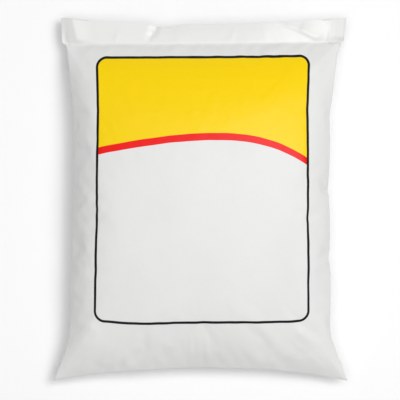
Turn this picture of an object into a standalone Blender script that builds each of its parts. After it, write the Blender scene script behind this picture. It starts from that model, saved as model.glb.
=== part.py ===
"""A small film bag of cement lying flat on a floor, in metres, +Z up.

The bag is one tube of polyethylene film. It is welded across its bottom end and again near its top,
and the rest of the tube stands past the top weld as a free header of two leaves. The cement fills it
like a pillow that has settled: flat underneath, crowned on top, pointed at the two bottom corners.
The origin is on the floor under the middle of the bag. +Y points to the header, +X to the right-hand
side as the printed face is read, and the printed face looks up.
"""

import math

import bmesh
import bpy

# Driving dimensions
LAY_FLAT_WIDTH = 0.266
OVERALL_LENGTH = 0.330
HEADER_DEPTH = 0.0235
THICKNESS = 0.072
FILM = 0.0002

# The outline between the welds: a slight waist, two pointed ears at the bottom and shoulders at the top weld
WAIST_HALF_WIDTH = 0.1156
WAIST_Y = 0.010
WAIST_SPREAD = 0.0015
EAR = 0.0128
EAR_REACH = 0.050
SHOULDER = 0.0062
SHOULDER_REACH = 0.070
TOP_WELD_END = 0.0018
BOTTOM_WELD_BOW = 0.0125

# The header is a little wider than the top weld, leans to the right and sags between its corners
HEADER_BASE_HALF_WIDTH = 0.1274
HEADER_EDGE_HALF_WIDTH = 0.1292
HEADER_SHIFT = 0.003
HEADER_SAG = 0.0055
HEADER_DIP = 0.0034
HEADER_DIP_AT = -0.27

# The seam line is the level at which the upper and the lower film meet; a weld's corners droop from its middle
SEAM_AT_ENDS = 0.026
SEAM_AT_MIDDLE = 0.029
CORNER_DROOP = 0.010
HEADER_EDGE_LEVEL = 0.0215
HEADER_CORNER_DROOP = 0.006

# Two leaves of film pressed together, with a slit between them
PINCH = 0.0009

# The fill's highest point, as a share of the way from the bottom weld to the top one
PEAK_SHARE = 0.585
GENTLE_TO_BOTTOM = 0.25
GENTLE_TO_TOP = 0.33

# Across the bag the upper film is nearly flat, then turns past a shoulder into one steady slope
TURN_FROM = 0.77
TURN_TO = 0.91
CROWN = 0.11
LOWER_POWER = 2.6

# The underside would sink this many times deeper than the floor lets it, which leaves it flat in its middle
SINKING = 1.45

# Cement lies this far inside the film's outer face, less at the side folds, and keeps out of the pinched ends
CEMENT_INSET = 0.0015
INSET_AT_FOLD = 0.25
CEMENT_END_SHARE = 0.012

ACROSS = 22
ALONG = 28
HEADER_STEPS = 3

Y_BOTTOM = -OVERALL_LENGTH / 2
Y_TOP = OVERALL_LENGTH / 2
Y_WELD = Y_TOP - HEADER_DEPTH


def half_width(y):
    """Half the bag's width at y, between the two welds."""
    waist = WAIST_HALF_WIDTH + WAIST_SPREAD * ((y - WAIST_Y) / 0.100) ** 2
    ear = EAR * max(0.0, 1.0 - (y - Y_BOTTOM) / EAR_REACH) ** 1.5
    shoulder = SHOULDER * max(0.0, 1.0 - (Y_WELD - y) / SHOULDER_REACH) ** 1.2
    weld_end = TOP_WELD_END * math.exp((y - Y_WELD) / 0.003)
    return waist + ear + shoulder + weld_end


def middle_x(y):
    """The bag leans a little, so that its header sits off the middle of its bottom weld."""
    return HEADER_SHIFT * (y - Y_BOTTOM) / OVERALL_LENGTH


def steepening(q, gentle, power=5):
    """Drop from 0 to 1 as q goes from 0 to 1: a gentle slope that grows, and steepens towards the end."""
    return (gentle * q**2 / 2 + (1.0 - gentle) * q ** (power + 1) / (power + 1)) / (
        gentle / 2 + (1.0 - gentle) / (power + 1)
    )


def rise(v):
    """Share of the full height that the fill reaches at v, which is 0 at the bottom weld and 1 at the top one."""
    if v < PEAK_SHARE:
        return 1.0 - steepening(1.0 - v / PEAK_SHARE, GENTLE_TO_BOTTOM)
    return 1.0 - steepening((v - PEAK_SHARE) / (1.0 - PEAK_SHARE), GENTLE_TO_TOP)


def upper_share(s):
    """Share of the height across the upper film, at s from -1 at the left fold to 1 at the right one."""

    def drop(q):
        turn = min(max(q - TURN_FROM, 0.0), TURN_TO - TURN_FROM)
        turned = turn**2 / (2.0 * (TURN_TO - TURN_FROM)) + max(q - TURN_TO, 0.0)
        return CROWN * q**2 + (1.0 - 2.0 * CROWN) * turned

    return 1.0 - drop(abs(s)) / drop(1.0)


def lower_share(s):
    """Share of the depth across the lower film."""
    return (1.0 - abs(s) ** LOWER_POWER) ** (1.0 / LOWER_POWER)


def bottom_weld_y(s):
    """The bottom weld bows in between its corners; s runs from -1 to 1 across the bag."""
    return Y_BOTTOM + BOTTOM_WELD_BOW * (1.0 - abs(s) ** 2.6)


def shares_across():
    """Places across the bag from its left fold to its right one, closer together near the folds."""
    return [-math.cos(math.pi * k / ACROSS) for k in range(ACROSS)] + [1.0]


def bag_section(v, inset=0.0):
    """The closed ring of points round the bag at v: the upper film from left to right, then the lower one back."""
    fullness = rise(v)
    crown = (THICKNESS - SEAM_AT_MIDDLE - PINCH / 2) * fullness
    ring = []
    for side in (1, -1):
        for s in shares_across()[::side]:
            y = bottom_weld_y(s) + (Y_WELD - bottom_weld_y(s)) * v
            x = middle_x(y) + s * (half_width(y) - inset)
            seam = SEAM_AT_ENDS + (SEAM_AT_MIDDLE - SEAM_AT_ENDS) * fullness
            seam -= CORNER_DROOP * abs(s) ** 3 * (1.0 - fullness) ** 2
            share = upper_share(s) if side == 1 else lower_share(s)
            if side == 1:
                z = seam + PINCH / 2 + crown * share
            else:
                z = (seam - PINCH / 2) * (1.0 - min(1.0, share * fullness * SINKING))
            z -= side * inset * (INSET_AT_FOLD + (1.0 - INSET_AT_FOLD) * share)
            ring.append((x, y, z))
    return ring


def free_edge_y(s):
    """The header's free edge sags between its two corners, and dips once more left of its middle."""
    dip = HEADER_DIP * math.exp(-(((s - HEADER_DIP_AT) / 0.10) ** 2))
    return Y_TOP - HEADER_SAG * (1.0 - abs(s) ** 2.2) - dip


def header_section(share):
    """The ring round the header's two leaves, share of the way from the top weld to the free edge."""
    half = HEADER_BASE_HALF_WIDTH + (HEADER_EDGE_HALF_WIDTH - HEADER_BASE_HALF_WIDTH) * share
    ring = []
    for side in (1, -1):
        for s in shares_across()[::side]:
            y = Y_WELD + (free_edge_y(s) - Y_WELD) * share
            at_weld = SEAM_AT_ENDS - CORNER_DROOP * abs(s) ** 3
            at_edge = HEADER_EDGE_LEVEL - HEADER_CORNER_DROOP * abs(s) ** 3
            level = at_weld + (at_edge - at_weld) * share
            ring.append((middle_x(y) + s * half, y, level + side * PINCH / 2))
    return ring


def stations():
    """Shares of the length between the welds, closer together near each weld."""
    return [(1.0 - math.cos(math.pi * j / ALONG)) / 2 for j in range(ALONG + 1)]


def loft(rings):
    """An open tube through the rings, each extruded from the one before."""
    bm = bmesh.new()
    ring = bmesh.ops.create_circle(bm, segments=len(rings[0]), radius=LAY_FLAT_WIDTH)["verts"]
    for vert, place in zip(ring, rings[0]):
        vert.co = place
    edges = bm.edges[:]
    for places in rings[1:]:
        made = bmesh.ops.extrude_edge_only(bm, edges=edges)["geom"]
        edges = [item for item in made if isinstance(item, bmesh.types.BMEdge) and item.is_boundary]
        ring = [item for item in made if isinstance(item, bmesh.types.BMVert)]
        for vert, place in zip(ring, places):
            vert.co = place
    return bm


def pair_up_end(bm, first):
    """Closes a pinched end with a row of narrow faces from the upper film to the lower one."""
    bm.verts.ensure_lookup_table()
    count = 2 * (ACROSS + 1)
    verts = [bm.verts[first + k] for k in range(count)]
    chains = []
    for chain in (verts[: ACROSS + 1], verts[ACROSS + 1 :]):
        chains += [bm.edges.get(pair) for pair in zip(chain, chain[1:])]
    bmesh.ops.bridge_loops(bm, edges=chains)


def made_object(name, bm, collection, material):
    """The mesh as a smooth-shaded object with its faces pointing out."""
    bmesh.ops.recalc_face_normals(bm, faces=bm.faces[:])
    mesh = bpy.data.meshes.new(name)
    bm.to_mesh(mesh)
    bm.free()
    mesh.shade_smooth()
    mesh.materials.append(material)
    made = bpy.data.objects.new(name, mesh)
    collection.objects.link(made)
    return made


def plain_material(name, colour, roughness):
    material = bpy.data.materials.new(name)
    material.use_nodes = True
    shader = material.node_tree.nodes["Principled BSDF"]
    shader.inputs["Base Color"].default_value = (*colour, 1.0)
    shader.inputs["Roughness"].default_value = roughness
    shader.inputs["Metallic"].default_value = 0.0
    return material


def make_film_bag(collection):
    """The film: one skin closed at the bottom weld and open at the header's free edge, 0.2 mm thick."""
    rings = [bag_section(v) for v in stations()]
    rings += [header_section((k + 1) / HEADER_STEPS) for k in range(HEADER_STEPS)]
    bm = loft(rings)
    pair_up_end(bm, 0)
    bag = made_object("film_bag", bm, collection, plain_material("white_film", (0.80, 0.80, 0.80), 0.35))
    wall = bag.modifiers.new("film_wall", "SOLIDIFY")
    wall.thickness = FILM
    wall.offset = -1.0
    wall.use_even_offset = True
    wall.use_rim = True
    return bag


def make_cement_fill(collection):
    """The powder: a closed pillow just inside the film, ending where the film is pinched."""
    inner = [v for v in stations() if CEMENT_END_SHARE < v < 1.0 - CEMENT_END_SHARE]
    rings = [bag_section(v, CEMENT_INSET) for v in inner]
    bm = loft(rings)
    pair_up_end(bm, 0)
    pair_up_end(bm, (len(rings) - 1) * len(rings[0]))
    return made_object("cement_fill", bm, collection, plain_material("grey_cement", (0.32, 0.32, 0.31), 0.95))


def main():
    for old in list(bpy.data.objects):
        bpy.data.objects.remove(old)
    collection = bpy.data.collections.new("cement_bag")
    bpy.context.scene.collection.children.link(collection)
    make_film_bag(collection)
    make_cement_fill(collection)


main()
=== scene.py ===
"""A small film bag of cement, lying on its back and seen from straight above."""

import math

import bmesh
import bpy
import numpy as np
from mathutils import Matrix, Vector, noise
from mathutils.bvhtree import BVHTree


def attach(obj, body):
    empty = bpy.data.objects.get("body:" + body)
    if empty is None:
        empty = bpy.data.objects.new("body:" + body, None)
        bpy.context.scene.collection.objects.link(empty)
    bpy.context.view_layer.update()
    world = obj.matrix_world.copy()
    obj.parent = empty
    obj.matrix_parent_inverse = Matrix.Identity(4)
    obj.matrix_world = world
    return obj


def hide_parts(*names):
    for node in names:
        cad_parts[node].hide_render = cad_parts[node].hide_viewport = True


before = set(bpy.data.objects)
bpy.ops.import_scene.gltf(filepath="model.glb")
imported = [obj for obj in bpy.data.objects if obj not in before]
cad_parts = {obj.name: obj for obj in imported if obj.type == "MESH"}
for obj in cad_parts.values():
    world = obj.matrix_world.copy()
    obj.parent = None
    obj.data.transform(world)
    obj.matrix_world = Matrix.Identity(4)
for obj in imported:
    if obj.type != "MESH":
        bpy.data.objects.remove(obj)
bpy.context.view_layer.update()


# The photograph's view. The camera hangs over the middle of the bag and looks straight down, with the
# header towards the top of the picture. The frame is taken as 400 by 400 pixels, and one pixel covers
# the same length of bag here as in the photograph.
PIXELS_WIDE = 400
METRES_A_PIXEL = 0.00091
SEAM_LEVEL = 0.029
CAMERA_ABOVE_SEAM = 3.2

camera_data = bpy.data.cameras.new("overhead_camera")
camera_data.sensor_width = 36.0
camera_data.lens = camera_data.sensor_width * CAMERA_ABOVE_SEAM / (PIXELS_WIDE * METRES_A_PIXEL)
camera = bpy.data.objects.new("overhead_camera", camera_data)
camera.location = (0.0, 0.0, SEAM_LEVEL + CAMERA_ABOVE_SEAM)
bpy.context.scene.collection.objects.link(camera)
bpy.context.scene.camera = camera
bpy.context.scene.view_settings.view_transform = "Standard"


# The film bag. One lay-flat tube of opaque white polyethylene film, welded across its bottom end and
# again a little below its top end. Each face starts as a flat grid that is laid on the bag's settled
# shape, and the film is then left to crumple as cloth round the cement, which pushes it out a little.
FILM_WIDTH = 0.268
FILM_BETWEEN_WELDS = 0.310
OVERALL_LENGTH = 0.330
HEADER_DEPTH = 0.0230
THICKNESS = 0.0700
WAIST_HALF_WIDTH = 0.1169
WAIST_Y = 0.010
WAIST_SPREAD = 0.0015
WAIST_SPREAD_OVER = 0.100
BELLY = 0.0014
BELLY_Y = -0.045
BELLY_REACH = 0.075
EAR = 0.0127
EAR_REACH = 0.050
EAR_CURVE = 1.5
SHOULDER = 0.0055
SHOULDER_REACH = 0.062
SHOULDER_CURVE = 1.2
WELD_END = 0.0018
WELD_END_REACH = 0.003
MIDDLE_AT_BOTTOM = 0.0006
MIDDLE_AT_TOP = 0.0020
BOTTOM_WELD_BOW = 0.0125
BOW_POWER = 2.6
BOTTOM_WELD_DIP = 0.0013
BOTTOM_DIP_AT = -0.42
BOTTOM_DIP_REACH = 0.20
WELD_LEVEL = 0.026
CORNER_DROOP = 0.010
UNDERSIDE_POWER = 2.6
UNDERSIDE_SINKING = 1.45
PEAK_SHARE = 0.585
GENTLE_TO_BOTTOM = 0.19
STEEP_TO_BOTTOM = 9
GENTLE_TO_TOP = 0.33
STEEP_TO_TOP = 5
CROWN_SLOPE = 0.11
TURN_FROM = 0.77
TURN_TO = 0.91
SLOPE_PAST_TURN = 0.78
Y_BOTTOM = -OVERALL_LENGTH / 2
Y_WELD = OVERALL_LENGTH / 2 - HEADER_DEPTH
WELD_TILT = 0.0011
WELD_SAG = 0.0015
CELLS_ACROSS = 84
CELLS_ALONG = 98
POINTS_ACROSS = 400
MERGED_WITHIN = 0.0002
ON_WELD = 0.0001


def half_width(y):
    """Half the bag's width at y: a waist over a slight belly, two pointed ears and a wider top weld."""
    waist = WAIST_HALF_WIDTH + WAIST_SPREAD * ((y - WAIST_Y) / WAIST_SPREAD_OVER) ** 2
    belly = BELLY * math.exp(-(((y - BELLY_Y) / BELLY_REACH) ** 2))
    ear = EAR * max(0.0, 1.0 - (y - Y_BOTTOM) / EAR_REACH) ** EAR_CURVE
    shoulder = SHOULDER * max(0.0, 1.0 - (Y_WELD - y) / SHOULDER_REACH) ** SHOULDER_CURVE
    weld_end = WELD_END * math.exp((y - Y_WELD) / WELD_END_REACH)
    return waist + belly + ear + shoulder + weld_end


def steepening(q, gentle, power):
    """Drop from 0 to 1 as q goes from 0 to 1: a gentle slope that grows, and steepens towards the end."""
    return (gentle * q**2 / 2 + (1.0 - gentle) * q ** (power + 1) / (power + 1)) / (
        gentle / 2 + (1.0 - gentle) / (power + 1)
    )


def rise(along):
    """Share of the full height at a share of the length, 0 at both welds."""
    if along < PEAK_SHARE:
        return 1.0 - steepening(1.0 - along / PEAK_SHARE, GENTLE_TO_BOTTOM, STEEP_TO_BOTTOM)
    return 1.0 - steepening((along - PEAK_SHARE) / (1.0 - PEAK_SHARE), GENTLE_TO_TOP, STEEP_TO_TOP)


def crown(s):
    """Share of the height across the upper film: nearly flat, then past a turn one steady slope."""

    def drop(q):
        turn = min(max(q - TURN_FROM, 0.0), TURN_TO - TURN_FROM)
        turned = turn**2 / (2.0 * (TURN_TO - TURN_FROM)) + max(q - TURN_TO, 0.0)
        return CROWN_SLOPE * q**2 + SLOPE_PAST_TURN * turned

    return 1.0 - drop(abs(s)) / drop(1.0)


def seam_level(along, s):
    """Height of the side fold and of the welds; a weld's corners droop from its middle."""
    droop = CORNER_DROOP * abs(s) ** 3 * (1.0 - rise(along)) ** 2
    return WELD_LEVEL + (SEAM_LEVEL - WELD_LEVEL) * rise(along) - droop


def section(along, side):
    """Points across the bag at a share of its length, spaced evenly along the film."""
    s = -np.cos(np.linspace(0.0, math.pi, POINTS_ACROSS))
    seam = np.array([seam_level(along, a) for a in s])
    if side > 0:
        z = seam + (THICKNESS - SEAM_LEVEL) * rise(along) * np.array([crown(a) for a in s])
    else:
        share = (1.0 - np.abs(s) ** UNDERSIDE_POWER) ** (1.0 / UNDERSIDE_POWER)
        z = seam * (1.0 - np.minimum(1.0, share * rise(along) * UNDERSIDE_SINKING))
    dip = BOTTOM_WELD_DIP * np.exp(-(((s - BOTTOM_DIP_AT) / BOTTOM_DIP_REACH) ** 2))
    ends = Y_BOTTOM + BOTTOM_WELD_BOW * (1.0 - np.abs(s) ** BOW_POWER) - dip
    weld = Y_WELD + WELD_TILT * s + WELD_SAG * s**2
    y = ends + (weld - ends) * along
    middle = MIDDLE_AT_BOTTOM + (MIDDLE_AT_TOP - MIDDLE_AT_BOTTOM) * (y - Y_BOTTOM) / OVERALL_LENGTH
    x = middle + s * np.array([half_width(b) for b in y])
    points = np.stack([x, y, z], axis=1)
    travelled = np.concatenate([[0.0], np.cumsum(np.linalg.norm(np.diff(points, axis=0), axis=1))])
    even = np.linspace(0.0, travelled[-1], CELLS_ACROSS + 1)
    return np.stack([np.interp(even, travelled, points[:, axis]) for axis in range(3)], axis=1)


# How the fill has pulled the front's print out of square: wider over the middle of the bag's length, and
# its lower corners lower, but not where the weld holds the film
PRINT_WIDENING = 0.0125
WIDENING_IN_MIDDLE = 2.3
WIDE_FROM = 0.170
WIDE_TO = 0.190
FADING_BELOW = 2.83
FADING_ABOVE = 4.53
CORNERS_LOWER = 0.0080
CORNERS_AT = 0.090
HELD_BY_WELD = 0.010


def pulled_print(across, up):
    """Where a place of the front lies on the flat film, as metres from its middle and its bottom."""
    wider = PRINT_WIDENING - FADING_ABOVE * max(0.0, up - WIDE_TO) ** 2
    wider = wider - FADING_BELOW * max(0.0, WIDE_FROM - up) ** 2
    share = across / (FILM_WIDTH / 2)
    lower = CORNERS_LOWER * abs(across / CORNERS_AT) ** 3 * (1.0 - up / FILM_BETWEEN_WELDS) ** 2
    lower = lower * (1.0 - math.exp(-up / HELD_BY_WELD))
    return across * (1.0 + WIDENING_IN_MIDDLE * wider * (1.0 - share**2)), up - lower


def film_bag_mesh():
    """Both faces of the film, joined along their four edges, with the flat film as the UV map."""
    bm = bmesh.new()
    flat = bm.loops.layers.uv.new("flat_film")
    for side in (1, -1):
        made = bmesh.ops.create_grid(bm, x_segments=CELLS_ACROSS, y_segments=CELLS_ALONG, size=0.5)["verts"]
        faces = list({face for vert in made for face in vert.link_faces})
        for face in faces:
            for loop in face.loops:
                x, y = loop.vert.co.x, loop.vert.co.y
                across = x * FILM_WIDTH if side > 0 else FILM_WIDTH - x * FILM_WIDTH
                up = (y + 0.5) * FILM_BETWEEN_WELDS
                loop[flat].uv = pulled_print(across, up) if side > 0 else (across, up)
        rows = [section(j / CELLS_ALONG, side) for j in range(CELLS_ALONG + 1)]
        for vert in made:
            i = round((vert.co.x + 0.5) * CELLS_ACROSS)
            j = round((vert.co.y + 0.5) * CELLS_ALONG)
            vert.co = rows[j][i]
        if side < 0:
            bmesh.ops.reverse_faces(bm, faces=faces)
    bmesh.ops.remove_doubles(bm, verts=bm.verts[:], dist=MERGED_WITHIN)
    sharp = bm.edges.layers.float.new("crease_edge")
    on_weld = {
        loop.vert
        for face in bm.faces
        for loop in face.loops
        if min(loop[flat].uv.y, FILM_BETWEEN_WELDS - loop[flat].uv.y) < ON_WELD
    }
    for edge in bm.edges:
        edge[sharp] = float(all(vert in on_weld for vert in edge.verts))
    mesh = bpy.data.meshes.new("film_bag")
    bm.to_mesh(mesh)
    bm.free()
    return mesh


film_bag = bpy.data.objects.new("film_bag_skin", film_bag_mesh())
bpy.context.scene.collection.objects.link(film_bag)

# How much longer the film is than the smooth shape it starts on: puckers along both welds and side folds
SURPLUS_AT_WELDS = 0.010
SURPLUS_AT_FOLDS = 0.020
REACH_FROM_WELD = 0.024
REACH_FROM_FOLD = 0.025
PATCHES_A_METRE = 25.0
PATCHINESS = 0.5
OWN_PATCHES_AT_BACK = 0.12
TAUT_AT_CORNER = 0.9
TAUT_REACH = 0.045
MOST_SURPLUS = 0.10
START_UNEVENNESS = 0.0003
UNEVEN_A_METRE = 90.0
APART_IN_NOISE = 40.0
RESTING_BELOW = 0.0006
CLOTH_FRAMES = 18
MOST_SWELLING = 0.0060
MOST_SINKING = 0.0030
SHARE_OF_GAP = 0.35
JUST_INSIDE = 0.0001
SWELLING_AWAY_FROM_WELD = 0.12
OVER_CEMENT = 0.0006


def surplus(u, v):
    """Share of film length to spare at a place on the flat film, in metres from its middle and its bottom."""
    from_weld = min(v, FILM_BETWEEN_WELDS - v)
    from_fold = abs(abs(u) - FILM_WIDTH / 2)
    own = OWN_PATCHES_AT_BACK if u > FILM_WIDTH / 2 else 0.0
    patchy = 1.0 + PATCHINESS * noise.noise(Vector((u, v, own)) * PATCHES_A_METRE)
    from_corner = math.hypot(from_fold, from_weld)
    away_from_corner = 1.0 - TAUT_AT_CORNER * math.exp(-((from_corner / TAUT_REACH) ** 2))
    return patchy * away_from_corner * (
        SURPLUS_AT_WELDS * math.exp(-from_weld / REACH_FROM_WELD)
        + SURPLUS_AT_FOLDS * math.exp(-from_fold / REACH_FROM_FOLD)
    )


def uneven(place):
    """A small push in a direction that changes every centimetre or so."""
    return Vector(
        [noise.noise(place * UNEVEN_A_METRE + Vector((0.0, 0.0, APART_IN_NOISE * axis))) for axis in range(3)]
    )


mesh = film_bag.data
flat_place = {loop.vertex_index: mesh.uv_layers["flat_film"].data[loop.index].uv[:] for loop in mesh.loops}
held = film_bag.vertex_groups.new(name="held")
stretch_limit = film_bag.vertex_groups.new(name="stretch_limit")
for vert in mesh.vertices:
    u, v = flat_place[vert.index]
    if min(v, FILM_BETWEEN_WELDS - v) < ON_WELD or vert.co.z < RESTING_BELOW:
        held.add([vert.index], 1.0, "REPLACE")
    stretch_limit.add([vert.index], 1.0 - min(1.0, surplus(u, v) / MOST_SURPLUS), "REPLACE")
    vert.co += START_UNEVENNESS * uneven(vert.co)

start = [vert.co.copy() for vert in mesh.vertices]
start_normal = [vert.normal.copy() for vert in mesh.vertices]
both_faces = BVHTree.FromPolygons(start, [face.vertices for face in mesh.polygons])
crumple = film_bag.modifiers.new("crumple", "CLOTH")
film_cloth = crumple.settings
film_cloth.quality = 6
film_cloth.mass = 0.01
film_cloth.air_damping = 1.0
film_cloth.tension_stiffness = 15.0
film_cloth.compression_stiffness = 15.0
film_cloth.shear_stiffness = 5.0
film_cloth.tension_damping = 5.0
film_cloth.compression_damping = 5.0
film_cloth.shear_damping = 5.0
film_cloth.bending_model = "ANGULAR"
film_cloth.bending_stiffness = 0.5
film_cloth.bending_damping = 0.5
film_cloth.use_pressure = True
film_cloth.uniform_pressure_force = 2.0
film_cloth.effector_weights.gravity = 0.0
film_cloth.vertex_group_mass = "held"
film_cloth.vertex_group_shrink = "stretch_limit"
film_cloth.shrink_min = -MOST_SURPLUS
film_cloth.shrink_max = 0.0
crumple.collision_settings.use_collision = False
crumple.point_cache.frame_start = 1
crumple.point_cache.frame_end = CLOTH_FRAMES
for moment in range(1, CLOTH_FRAMES + 1):
    bpy.context.scene.frame_set(moment)
crumpled = film_bag.evaluated_get(bpy.context.evaluated_depsgraph_get()).to_mesh()
moves = [after.co - before for before, after in zip(start, crumpled.vertices)]
film_bag.modifiers.clear()
bpy.context.scene.frame_set(1)
for vert, before, normal, move in zip(mesh.vertices, start, start_normal, moves):
    outward = move.dot(normal)
    gap = both_faces.ray_cast(before - JUST_INSIDE * normal, -normal)[3] or 0.0
    up = flat_place[vert.index][1]
    most = min(MOST_SWELLING, SWELLING_AWAY_FROM_WELD * min(up, FILM_BETWEEN_WELDS - up))
    kept = min(most, max(-MOST_SINKING, -SHARE_OF_GAP * gap, outward))
    vert.co = before + move + (kept - outward) * normal
film_bag.vertex_groups.clear()
fine = film_bag.modifiers.new("fine", "SUBSURF")
fine.levels = 1
fine.render_levels = 1
smooth_mesh = bpy.data.meshes.new_from_object(film_bag.evaluated_get(bpy.context.evaluated_depsgraph_get()))
film_bag.modifiers.clear()
film_bag.data = smooth_mesh

# Creases set by handling, as millimetres on the plan: where each starts and ends, how far it stands up
# (or sinks, if negative), and how far it fades out on its left and on its right as it runs downwards.
CREASES = (
    ((125, 143), (104, 120), 1.9, 9, 9),
    ((-121, 140), (-105, 112), 1.2, 12, 7),
    ((91, -120), (107, -131), 1.6, 11, 10),
    ((107, -131), (132, -163), 1.9, 9, 11),
    ((85, -128), (112, -152), 0.4, 4, 8),
    ((-98, -115), (-132, -165), 1.5, 14, 12),
    ((-9, -124), (-8, -151), 0.35, 3, 2.5),
    ((-2, -126), (0, -151), 0.35, 2.5, 3),
    ((5, -124), (8, -151), 0.40, 2.5, 4),
    ((12, -130), (15, -152), 0.30, 3, 3),
    ((-86, -141), (-90, -156), 0.35, 3, 3),
    ((-76, -142), (-79, -155), 0.40, 3, 3),
    ((-66, -140), (-69, -154), 0.30, 3, 3),
    ((-104, 60), (-96, 34), 0.25, 3, 4),
    ((-106, 10), (-97, -14), 0.25, 3, 4),
    ((-105, -38), (-97, -60), 0.25, 3, 4),
)
CREASE_RUNOUT = 9.0
CREASE_CURVE = 1.5


def crease_lift(x, y, creases):
    """How far the creases lift the film at places on the plan, in metres."""
    x, y = np.asarray(x) * 1000.0, np.asarray(y) * 1000.0
    highest, deepest = np.zeros_like(x), np.zeros_like(x)
    for (start_x, start_y), (end_x, end_y), lift, left, right in creases:
        run_x, run_y = end_x - start_x, end_y - start_y
        length = math.hypot(run_x, run_y)
        along = ((x - start_x) * run_x + (y - start_y) * run_y) / length**2
        across = (run_x * (y - start_y) - run_y * (x - start_x)) / length
        width = np.where(across > 0.0, right, left)
        past_end = np.maximum(0.0, np.maximum(-along, along - 1.0)) * length / CREASE_RUNOUT
        faded = np.maximum(0.0, 1.0 - past_end) ** 2
        own = lift / 1000.0 * faded * np.maximum(0.0, 1.0 - np.abs(across) / width) ** CREASE_CURVE
        highest, deepest = np.maximum(highest, own), np.minimum(deepest, own)
    return highest + deepest


on_front = np.zeros(len(smooth_mesh.vertices))
for loop, place in zip(smooth_mesh.loops, smooth_mesh.uv_layers["flat_film"].data):
    on_front[loop.vertex_index] = place.uv.x < FILM_WIDTH / 2 - JUST_INSIDE
places = np.array([vert.co for vert in smooth_mesh.vertices])
normals = np.array([vert.normal for vert in smooth_mesh.vertices])
lifts = crease_lift(places[:, 0], places[:, 1], CREASES) * on_front * (normals[:, 2] > 0.0)
places += lifts[:, None] * normals

# The film lies on the cement and on the floor, and sinks into neither
cement_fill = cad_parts["cement_fill"]
cement_surface = BVHTree.FromPolygons(
    [vert.co for vert in cement_fill.data.vertices], [face.vertices for face in cement_fill.data.polygons]
)
for vert, place in zip(smooth_mesh.vertices, places):
    place = Vector(place)
    nearest, outward, _, _ = cement_surface.find_nearest(place)
    above = (place - nearest).dot(outward)
    if above < OVER_CEMENT:
        place += (OVER_CEMENT - above) * outward
    vert.co = (place.x, place.y, max(0.0, place.z))

# The header. Past the top weld the same tube runs on empty, as two loose leaves of film with a slit
# between them that is open at the top. It lies out flat and droops a little towards the floor.
HEADER_ROWS = 16
HEADER_BASE_HALF_WIDTH = 0.1285
HEADER_BASE_MIDDLE = 0.0025
HEADER_EDGE_HALF_WIDTH = 0.1303
HEADER_EDGE_MIDDLE = 0.0034
FULL_WIDTH_FROM = 0.12
HEADER_CORNER_REACH = 0.0014
HEADER_SAG = 0.0051
HEADER_SAG_POWER = 2.2
HEADER_DIP = 0.0038
HEADER_DIP_AT = -0.27
HEADER_DIP_REACH = 0.10
HEADER_EDGE_LEVEL = 0.0232
HEADER_EDGE_DROOP = 0.6
HEADER_WAVE = 0.0010
WAVES_A_METRE = (22.0, 9.0)
WAVE_SEED = 7.0
HEADER_PARTING = 0.0012
PARTINGS_A_METRE = (30.0, 12.0)
PARTING_SEED = 19.0
PARTING_GROWTH = 1.5
LEAF_ROUNDING = 40
SLIT_ROUNDING = 8
AT_END = 0.9999
CREASED_FROM = 0.2
HEADER_CREASES = (
    ((-117, 167), (-112, 144), 2.2, 12, 16),
    ((-38, 160), (-41, 153), -1.8, 8, 4),
    ((-41, 153), (-44, 149), -1.2, 7, 3),
    ((-44, 149), (-46.5, 144.5), -0.5, 5, 2.5),
    ((80, 158.5), (92, 154), 0.9, 2.5, 12),
    ((92, 154), (107, 146.5), 1.5, 2.5, 16),
    ((132, 172), (130, 148), 3.0, 15, 8),
    ((-76, 150), (-78, 142), 0.35, 3, 4),
    ((-20, 150), (-17, 142), 0.30, 4, 3),
    ((30, 152), (27, 142), 0.30, 4, 4),
    ((58, 155), (62, 142), 0.15, 5, 5),
)
WELD_THICKNESS = 0.0005
FILM_AT_EDGE = 0.0002
SLIT_NARROWER = 0.0030
CLOSED_WITHIN = 0.00005
SHARP_FOLD = 75.0


def free_edge_y(s):
    """The header's free edge sags between its two corners, most of all left of its middle."""
    sag = HEADER_SAG * (1.0 - abs(s) ** HEADER_SAG_POWER)
    dip = HEADER_DIP * math.exp(-(((s - HEADER_DIP_AT) / HEADER_DIP_REACH) ** 2))
    return OVERALL_LENGTH / 2 + HEADER_CORNER_REACH * abs(s) - sag - dip


def header_point(start, s, side, share):
    """A place on one leaf, share of the way from the weld to the free edge; side 0 is the fold at its end."""
    spread = min(1.0, share / FULL_WIDTH_FROM)
    base_x = HEADER_BASE_MIDDLE + s * HEADER_BASE_HALF_WIDTH
    edge_x = HEADER_EDGE_MIDDLE + s * HEADER_EDGE_HALF_WIDTH
    x = (1.0 - spread) * start.x + spread * (base_x + (edge_x - base_x) * share)
    y = start.y + (free_edge_y(s) - start.y) * share
    wave = HEADER_WAVE * noise.noise(Vector((x * WAVES_A_METRE[0], y * WAVES_A_METRE[1], WAVE_SEED)))
    wave = wave + crease_lift(x, y, HEADER_CREASES) / max(share, CREASED_FROM)
    edge_level = HEADER_EDGE_LEVEL - CORNER_DROOP * HEADER_EDGE_DROOP * abs(s) ** 3
    level = start.z + (edge_level - start.z) * share + wave * share
    own_place = Vector((x * PARTINGS_A_METRE[0], y * PARTINGS_A_METRE[1], PARTING_SEED))
    own_wave = 0.5 + 0.5 * noise.noise(own_place)
    parting = WELD_THICKNESS + HEADER_PARTING * own_wave * min(1.0, share * PARTING_GROWTH)
    return Vector((x, y, level + side * (1.0 - abs(s) ** LEAF_ROUNDING) * parting / 2))


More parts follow.
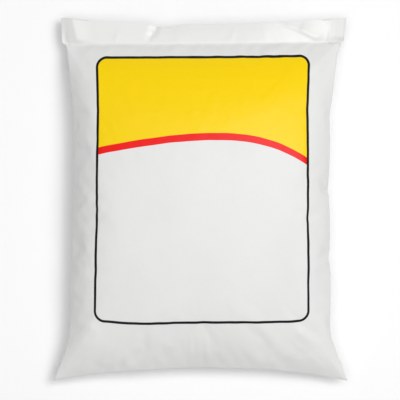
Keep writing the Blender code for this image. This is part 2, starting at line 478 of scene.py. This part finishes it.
bm = bmesh.new()
bm.from_mesh(film_bag.data)
flat = bm.loops.layers.uv["flat_film"]
at_weld = {
    loop.vert for face in bm.faces for loop in face.loops if loop[flat].uv.y > FILM_BETWEEN_WELDS - ON_WELD
}
left_end, right_end = [pick(vert.co.x for vert in at_weld) for pick in (min, max)]
weld_edges = [edge for edge in bm.edges if all(vert in at_weld for vert in edge.verts)]
bmesh.ops.split_edges(bm, edges=weld_edges)
rim_edges = [edge for edge in bm.edges if edge.is_boundary]
leaf = {}
weld_place = {}
for vert in {vert for edge in rim_edges for vert in edge.verts}:
    s = 2.0 * (vert.co.x - left_end) / (right_end - left_end) - 1.0
    fronts = [loop[flat].uv.x < FILM_WIDTH / 2 for loop in vert.link_loops]
    side = 1 if all(fronts) else -1 if not any(fronts) else 0
    if abs(s) > AT_END:
        side = 0
    vert.co.z += side * WELD_THICKNESS / 2
    leaf[tuple(vert.co)] = (s, side)
    weld_place[s, side] = vert.co.copy()

outer_rows = [(row / HEADER_ROWS, 0.0) for row in range(1, HEADER_ROWS + 1)]
inner_rows = [(row / HEADER_ROWS, FILM_AT_EDGE) for row in range(HEADER_ROWS, 1, -1)]
inner_rows.append((1 / HEADER_ROWS, None))
for share, inward in outer_rows + inner_rows:
    made = bmesh.ops.extrude_edge_only(bm, edges=rim_edges)["geom"]
    rim_edges = [item for item in made if isinstance(item, bmesh.types.BMEdge) and item.is_boundary]
    verts = [item for item in made if isinstance(item, bmesh.types.BMVert)]
    faces = [item for item in made if isinstance(item, bmesh.types.BMFace)]
    moved = {}
    for vert in verts:
        s, side = leaf[tuple(vert.co)]
        place = header_point(weld_place[s, side], s, side, share)
        if inward != 0.0:
            place.x -= math.copysign(SLIT_NARROWER, s) * abs(s) ** SLIT_ROUNDING
        if inward is None:
            weld_z = weld_place[s, side].z
            place.z = weld_z + (HEADER_EDGE_LEVEL - weld_z) * share - side * WELD_THICKNESS / 2
        else:
            place.z -= side * inward
        vert.co = place
        moved[tuple(place)] = (s, side)
    for face in faces:
        sides = [moved[tuple(vert.co)][1] for vert in face.verts if tuple(vert.co) in moved]
        front = sum(sides) > 0
        for loop in face.loops:
            up_header = share if tuple(loop.vert.co) in moved else share - 1.0 / HEADER_ROWS
            reach = FILM_BETWEEN_WELDS + HEADER_DEPTH * up_header
            across = (loop.vert.co.x / HEADER_EDGE_HALF_WIDTH) * FILM_WIDTH / 2
            loop[flat].uv = (across if front else FILM_WIDTH - across, reach)
    leaf = moved
bmesh.ops.remove_doubles(bm, verts=verts, dist=CLOSED_WITHIN)
bmesh.ops.recalc_face_normals(bm, faces=bm.faces[:])

# The extruded rows come in another order on each run, so they are put in order by their places
verts_in_order = sorted(bm.verts, key=lambda vert: tuple(vert.co))
vert_rank = {vert: rank for rank, vert in enumerate(verts_in_order)}
bm.verts.sort(key=vert_rank.get)
faces_in_order = sorted(bm.faces, key=lambda face: tuple(face.calc_center_median()))
face_rank = {face: rank for rank, face in enumerate(faces_in_order)}
bm.faces.sort(key=face_rank.get)
bm.verts.index_update()
bm.faces.index_update()
bm.to_mesh(film_bag.data)
bm.free()

film_bag.data.shade_smooth()
film_bag.data.set_sharp_from_angle(angle=math.radians(SHARP_FOLD))
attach(film_bag, "root")
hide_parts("film_bag")

# The printed film. White low-density polyethylene, blown and then printed on one face in flat inks:
# a thin black frame with round corners, a yellow field at its top and a bent red stripe under that.
# It gives the eye a satin gloss, broken up by fine creases and clearer on the inks and the flat header.
FILM_WHITE = "E9E9E8"
FILM_SHADE = "E1E1E0"
HEADER_WHITE = "E2E2E1"
INK_BLACK = "101010"
INK_YELLOW = "F8D300"
INK_RED = "EE0F0E"
FRAME_MIDDLE = (0.0009, 0.17065)
FRAME_HALF_SIZE = (0.1002, 0.12775)
FRAME_CORNER = 0.0112
FRAME_LINE = 0.0025
STRIPE_PEAK = (0.0112, 0.2239)
STRIPE_WIDTH = 0.0068
PRINT_EDGE = 0.00012
WELD_EDGE = 0.0005

# To each side of its peak, how far the stripe runs, how far it has fallen there, and how late it bends
STRIPE_LEFT = (0.105, 0.01156, 1.815)
STRIPE_RIGHT = (0.080, 0.0185, 2.47)

# Gloss and relief: the crinkles of thin film, and the fine streaks that extrusion leaves along it, which
# are drawn coarser than the real ones so that they show
CLOUD_SIZE = 0.045
GLOSS_PATCH_SIZE = 0.018
CRINKLE_SIZE = 0.007
CRINKLE_DEPTH = 0.00012
FINE_CRINKLE_SIZE = 0.0022
FINE_CRINKLE_DEPTH = 0.00002
STREAK_WIDTH = 0.0012
STREAK_LENGTH = 0.120
STREAK_DEPTH = 0.00001
FILM_ROUGHNESS = (0.42, 0.54)
STREAK_ROUGHNESS = 0.05
HEADER_ROUGHNESS = 0.32
INK_ROUGHNESS = 0.40
FILM_IOR = 1.51
FILM_SHEEN = 0.22
HEADER_SHEEN = 0.42


def linear(hex_colour):
    """An sRGB hex colour as the linear values that a shader takes."""
    shares = [int(hex_colour[i : i + 2], 16) / 255.0 for i in (0, 2, 4)]
    return (*(c / 12.92 if c <= 0.04045 else ((c + 0.055) / 1.055) ** 2.4 for c in shares), 1.0)


def add(tree, kind, inputs, output=0, **settings):
    """A node with its settings and its inputs, each a value or another node's output; returns one output."""
    node = tree.nodes.new(kind)
    for name, value in settings.items():
        setattr(node, name, value)
    for place, source in inputs.items():
        if isinstance(source, bpy.types.NodeSocket):
            tree.links.new(source, node.inputs[place])
        else:
            node.inputs[place].default_value = source
    return node.outputs[output]


film = bpy.data.materials.new("white_polyethylene_film")
film.use_nodes = True
tree = film.node_tree
shader = tree.nodes["Principled BSDF"]
math_node, vector_node, mix_node = "ShaderNodeMath", "ShaderNodeVectorMath", "ShaderNodeMix"

on_film = add(tree, "ShaderNodeUVMap", {}, uv_map="flat_film")
from_middle = add(tree, vector_node, {0: on_film, 1: (*FRAME_MIDDLE, 0.0)}, operation="SUBTRACT")
folded = add(tree, vector_node, {0: from_middle}, operation="ABSOLUTE")
corner_at = (FRAME_HALF_SIZE[0] - FRAME_CORNER, FRAME_HALF_SIZE[1] - FRAME_CORNER, 0.0)
from_corner = add(tree, vector_node, {0: folded, 1: corner_at}, operation="SUBTRACT")
past_corner = add(tree, vector_node, {0: from_corner, 1: (0.0, 0.0, 0.0)}, operation="MAXIMUM")
distance = add(tree, vector_node, {0: past_corner}, output="Value", operation="LENGTH")
inside = {"To Min": 1.0, "To Max": 0.0}
frame_edge = {"From Min": FRAME_CORNER - PRINT_EDGE, "From Max": FRAME_CORNER + PRINT_EDGE}
in_frame = add(tree, "ShaderNodeMapRange", {"Value": distance, **frame_edge, **inside})
inner = FRAME_CORNER - FRAME_LINE
panel_edge = {"From Min": inner - PRINT_EDGE, "From Max": inner + PRINT_EDGE}
in_panel = add(tree, "ShaderNodeMapRange", {"Value": distance, **panel_edge, **inside})

apart = add(tree, "ShaderNodeSeparateXYZ", {0: on_film}).node
u_on_film, v_on_film = apart.outputs["X"], apart.outputs["Y"]
from_peak = add(tree, math_node, {0: u_on_film, 1: STRIPE_PEAK[0]}, operation="SUBTRACT")
falls = []
for direction, (reach, fall, power) in ((-1.0, STRIPE_LEFT), (1.0, STRIPE_RIGHT)):
    share = add(tree, math_node, {0: from_peak, 1: direction / reach}, operation="MULTIPLY")
    share = add(tree, math_node, {0: share, 1: 0.0}, operation="MAXIMUM")
    bend = add(tree, math_node, {0: share, 1: power}, operation="POWER")
    falls.append(add(tree, math_node, {0: bend, 1: fall}, operation="MULTIPLY"))
fallen = add(tree, math_node, {0: falls[0], 1: falls[1]}, operation="ADD")
above_peak = add(tree, math_node, {0: v_on_film, 1: STRIPE_PEAK[1]}, operation="SUBTRACT")
above_stripe = add(tree, math_node, {0: above_peak, 1: fallen}, operation="ADD")
field_edge = {"From Min": -PRINT_EDGE, "From Max": PRINT_EDGE}
in_field = add(tree, "ShaderNodeMapRange", {"Value": above_stripe, **field_edge})
below = -STRIPE_WIDTH
stripe_edge = {"From Min": below - PRINT_EDGE, "From Max": below + PRINT_EDGE}
in_field_or_stripe = add(tree, "ShaderNodeMapRange", {"Value": above_stripe, **stripe_edge})

past_weld = {"From Min": FILM_BETWEEN_WELDS - WELD_EDGE, "From Max": FILM_BETWEEN_WELDS + WELD_EDGE}
in_header = add(tree, "ShaderNodeMapRange", {"Value": v_on_film, **past_weld})
in_metres = add(tree, "ShaderNodeTexCoord", {}, output="Object")
clouds = {"Scale": 1.0 / CLOUD_SIZE, "Detail": 2.0, "Roughness": 0.5}
cloudy = add(tree, "ShaderNodeTexNoise", {"Vector": in_metres, **clouds})
mixing = {"data_type": "RGBA", "output": 2}
over_cement = add(tree, mix_node, {"Factor": cloudy, 6: linear(FILM_WHITE), 7: linear(FILM_SHADE)}, **mixing)
plain = add(tree, mix_node, {"Factor": in_header, 6: over_cement, 7: linear(HEADER_WHITE)}, **mixing)
striped = add(tree, mix_node, {"Factor": in_field_or_stripe, 6: plain, 7: linear(INK_RED)}, **mixing)
coloured = add(tree, mix_node, {"Factor": in_field, 6: striped, 7: linear(INK_YELLOW)}, **mixing)
panel = add(tree, mix_node, {"Factor": in_panel, 6: linear(INK_BLACK), 7: coloured}, **mixing)
printed = add(tree, mix_node, {"Factor": in_frame, 6: plain, 7: panel}, **mixing)
tree.links.new(printed, shader.inputs["Base Color"])

streaks_a_metre = (1.0 / STREAK_WIDTH, 1.0 / STREAK_LENGTH, 1.0)
streak_places = add(tree, "ShaderNodeMapping", {"Vector": on_film, "Scale": streaks_a_metre})
streaky = {"Scale": 1.0, "Detail": 2.0, "Roughness": 0.6}
streaks = add(tree, "ShaderNodeTexNoise", {"Vector": streak_places, **streaky})
inked = add(tree, math_node, {0: in_frame, 1: in_field_or_stripe}, operation="MULTIPLY")
patches = {"Scale": 1.0 / GLOSS_PATCH_SIZE, "Detail": 3.0}
uneven_gloss = add(tree, "ShaderNodeTexNoise", {"Vector": in_metres, **patches})
roughness_range = {"To Min": FILM_ROUGHNESS[0], "To Max": FILM_ROUGHNESS[1]}
film_gloss = add(tree, "ShaderNodeMapRange", {"Value": uneven_gloss, **roughness_range})
streak_range = {"To Min": -STREAK_ROUGHNESS, "To Max": STREAK_ROUGHNESS}
streaky_gloss = add(tree, "ShaderNodeMapRange", {"Value": streaks, **streak_range})
film_gloss = add(tree, math_node, {0: film_gloss, 1: streaky_gloss}, operation="ADD")
bare_gloss = add(tree, mix_node, {"Factor": in_header, 2: film_gloss, 3: HEADER_ROUGHNESS}, data_type="FLOAT")
gloss = add(tree, mix_node, {"Factor": inked, 2: bare_gloss, 3: INK_ROUGHNESS}, data_type="FLOAT")
tree.links.new(gloss, shader.inputs["Roughness"])
sheen = add(tree, mix_node, {"Factor": in_header, 2: FILM_SHEEN, 3: HEADER_SHEEN}, data_type="FLOAT")
tree.links.new(sheen, shader.inputs["Specular IOR Level"])

crinkles = {"Scale": 1.0 / CRINKLE_SIZE, "Detail": 2.0, "Distortion": 0.6}
crinkle = add(tree, "ShaderNodeTexNoise", {"Vector": in_metres, **crinkles})
fine_crinkles = {"Scale": 1.0 / FINE_CRINKLE_SIZE, "Detail": 2.0}
fine_crinkle = add(tree, "ShaderNodeTexNoise", {"Vector": in_metres, **fine_crinkles})
relief = {"Strength": 1.0}
for height, depth in ((crinkle, CRINKLE_DEPTH), (fine_crinkle, FINE_CRINKLE_DEPTH), (streaks, STREAK_DEPTH)):
    bumped = add(tree, "ShaderNodeBump", {**relief, "Distance": depth, "Height": height}, output="Normal")
    relief["Normal"] = bumped
tree.links.new(bumped, shader.inputs["Normal"])
shader.inputs["IOR"].default_value = FILM_IOR
film_bag.data.materials.append(film)


# The cement. Grey powder that fills the bag right up to the film, packed by its own weight. Its surface
# is matt and shows only soft clumps.
CEMENT_GREY = "8F8E8A"
CEMENT_PALE = "A3A19C"
CLUMP_SIZE = 0.004
CLUMP_DEPTH = 0.0005

cement = bpy.data.materials.new("grey_cement_powder")
cement.use_nodes = True
tree = cement.node_tree
powder = tree.nodes["Principled BSDF"]
in_metres = add(tree, "ShaderNodeTexCoord", {}, output="Object")
clumpy = {"Scale": 1.0 / CLUMP_SIZE, "Detail": 6.0, "Roughness": 0.7}
clumps = add(tree, "ShaderNodeTexNoise", {"Vector": in_metres, **clumpy})
tone = add(tree, mix_node, {"Factor": clumps, 6: linear(CEMENT_GREY), 7: linear(CEMENT_PALE)}, **mixing)
tree.links.new(tone, powder.inputs["Base Color"])
relief = {"Strength": 0.6, "Distance": CLUMP_DEPTH}
grainy = add(tree, "ShaderNodeBump", {**relief, "Height": clumps}, output="Normal")
tree.links.new(grainy, powder.inputs["Normal"])
powder.inputs["Roughness"].default_value = 0.95
powder.inputs["Specular IOR Level"].default_value = 0.2
cement_fill.material_slots[0].material = cement


# The studio. A pale floor under the bag, a broad light from straight above, a softbox from above on the
# right, and a little light from all round.
FLOOR_HALF_SIZE = 3.0
FLOOR_PALE = (0.95, 0.95, 0.95, 1.0)
AIR_LIGHT = 0.34

# Each light's name, its place, the side of its square and its watts
LIGHTS = (
    ("overhead", (0.0, 0.0, 3.7), 3.0, 56.0),
    ("softbox", (1.25, 0.60, 3.0), 1.4, 42.5),
)

floor_bm = bmesh.new()
bmesh.ops.create_grid(floor_bm, x_segments=1, y_segments=1, size=FLOOR_HALF_SIZE)
floor_mesh = bpy.data.meshes.new("studio_floor")
floor_bm.to_mesh(floor_mesh)
floor_bm.free()
floor = bpy.data.objects.new("studio_floor", floor_mesh)
bpy.context.scene.collection.objects.link(floor)
floor_paint = bpy.data.materials.new("pale_floor")
floor_paint.use_nodes = True
floor_shader = floor_paint.node_tree.nodes["Principled BSDF"]
floor_shader.inputs["Base Color"].default_value = FLOOR_PALE
floor_shader.inputs["Roughness"].default_value = 0.9
floor.data.materials.append(floor_paint)

world = bpy.data.worlds.new("studio_air")
world.use_nodes = True
air = world.node_tree.nodes["Background"]
air.inputs["Color"].default_value = (1.0, 1.0, 1.0, 1.0)
air.inputs["Strength"].default_value = AIR_LIGHT
bpy.context.scene.world = world

for name, place, size, watts in LIGHTS:
    light_data = bpy.data.lights.new(name, "AREA")
    light_data.energy = watts
    light_data.size = size
    light = bpy.data.objects.new(name, light_data)
    light.location = place
    light.rotation_euler = (-Vector(place)).to_track_quat("-Z", "Y").to_euler()
    bpy.context.scene.collection.objects.link(light)
